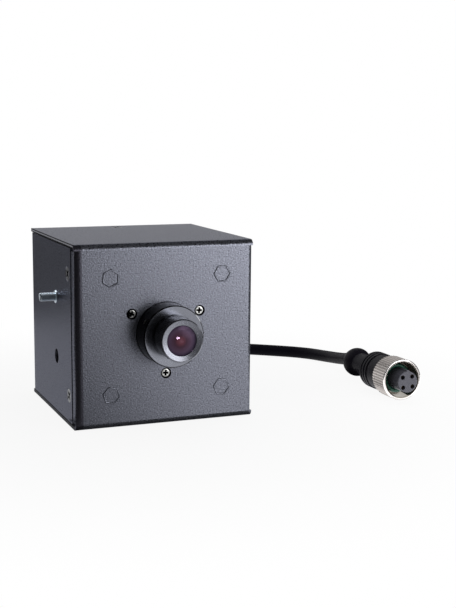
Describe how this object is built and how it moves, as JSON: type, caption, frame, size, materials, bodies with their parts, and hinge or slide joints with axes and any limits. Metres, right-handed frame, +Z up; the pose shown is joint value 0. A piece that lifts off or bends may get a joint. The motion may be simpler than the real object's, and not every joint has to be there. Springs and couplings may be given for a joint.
{
  "type": "cube ip camera",
  "caption": "Cube network camera in a folded sheet-metal housing, with a board lens in front, a side stud for a bracket and a short cable with a round screw-on connector.",
  "frame": {"origin": "middle of the housing's bottom face, where it stands", "axes": "+Z up, the lens looks along -Y, +X to the right of a viewer who faces the lens"},
  "size_m": [0.14, 0.1292, 0.063],
  "materials": {
    "housing_coat": "satin textured powder coat",
    "strip_steel": "zinc plated",
    "lens_black": "matt black anodised",
    "screw_nickel": "bright nickel plated",
    "screw_black": "black zinc plated",
    "stud_zinc": "bright zinc plated",
    "nut_nickel": "nickel plated, ridged",
    "lens_glass": "coated, polished",
    "cable_jacket": "matt",
    "connector_mould": "moulded, fine matt",
    "insert_plastic": "moulded, satin",
    "seal_rubber": "smooth",
    "contact_gold": "gold plated",
    "board_green": "solder resist",
    "chip_black": "moulded",
    "part_metal": "satin",
    "foam_black": "closed-cell foam",
    "connector_white": "moulded",
    "lead_sheath": "smooth"
  },
  "bodies": {
    "camera": {"front_shell": "housing_coat", "rear_shell": "housing_coat", "screw_strips": "strip_steel", "shell_side_screws": "screw_black", "shell_rear_screws": "screw_black", "panel_standoffs": "housing_coat", "side_stud": "stud_zinc", "lens_mount": "lens_black", "lens_mount_screws": "screw_nickel", "lens_lock_screw": "screw_nickel", "light_seal": "foam_black", "sensor_board": "board_green", "image_sensor": "chip_black", "sensor_window": "lens_glass", "board_spacers": "part_metal", "board_link": "connector_white", "main_board": "board_green", "main_board_screws": "part_metal", "processor": "chip_black", "memory_chips": "chip_black", "storage_chip": "chip_black", "network_transformer": "chip_black", "storage_capacitors": "part_metal", "power_inductor": "chip_black", "cable_header": "connector_white", "cable_plug": "connector_white", "inner_leads": "lead_sheath", "cable_bushing": "cable_jacket", "network_cable": "cable_jacket", "connector_body": "connector_mould", "contact_insert": "insert_plastic", "contact_sockets": "contact_gold", "insert_seal": "seal_rubber"},
    "lens": {"lens_barrel": "lens_black", "lens_front_ring": "lens_black", "front_lens": "lens_glass", "lens_spacer": "lens_black", "rear_lens": "lens_glass", "rear_lens_ring": "lens_black"},
    "nut": {"coupling_nut": "nut_nickel"}
  },
  "joints": [
    {"name": "lens_focus", "type": "hinge", "parent": "camera", "child": "lens", "pos_m": [0, -0.044, 0.032], "axis": [0, -1, 0], "range_deg": [-180, 180]},
    {"name": "nut_turn", "type": "hinge", "parent": "camera", "child": "nut", "pos_m": [0.09371, -0.03108, 0.00808], "axis": [-0.0593, -0.9978, 0.0297], "continuous": true}
  ]
}
